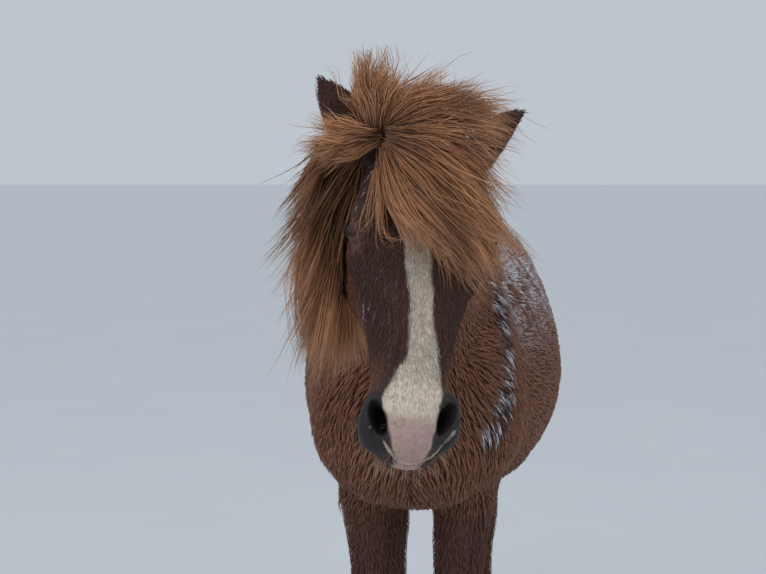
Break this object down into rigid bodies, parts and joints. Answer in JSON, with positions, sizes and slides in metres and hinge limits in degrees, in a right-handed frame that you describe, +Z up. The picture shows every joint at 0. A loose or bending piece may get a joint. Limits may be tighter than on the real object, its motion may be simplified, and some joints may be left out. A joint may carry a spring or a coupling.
{
  "type": "icelandic horse model",
  "caption": "Life-size standing Icelandic horse in winter coat, head held low, with a blaze and a windblown mane and forelock.",
  "frame": {"origin": "centre of the bounding box, at the level of the soles", "axes": "+Z up, -Y the way the horse faces, +X towards the horse's left"},
  "size_m": [0.5788, 2.1162, 1.5831],
  "materials": {
    "coat": "thick brown chestnut winter coat",
    "face": "short dark brown hair, with a white blaze",
    "hair": "long coarse hair, ginger with paler ends",
    "hoof": "dark horn, lightly striped",
    "eye": "wet dark brown"
  },
  "bodies": {
    "root": {"trunk": "coat", "neck": "coat", "head": "face", "lower_jaw": "face", "eye_right": "eye", "eye_left": "eye", "ear_right": "face", "ear_left": "face", "forelock": "hair", "mane_left": "hair", "mane_right": "hair", "tail": "hair", "foreleg_right_forearm": "coat", "foreleg_right_cannon": "coat", "foreleg_right_pastern": "coat", "foreleg_right_hoof": "hoof", "foreleg_left_forearm": "coat", "foreleg_left_cannon": "coat", "foreleg_left_pastern": "coat", "foreleg_left_hoof": "hoof", "hindleg_right_gaskin": "coat", "hindleg_right_cannon": "coat", "hindleg_right_pastern": "coat", "hindleg_right_hoof": "hoof", "hindleg_left_gaskin": "coat", "hindleg_left_cannon": "coat", "hindleg_left_pastern": "coat", "hindleg_left_hoof": "hoof"}
  },
  "joints": []
}
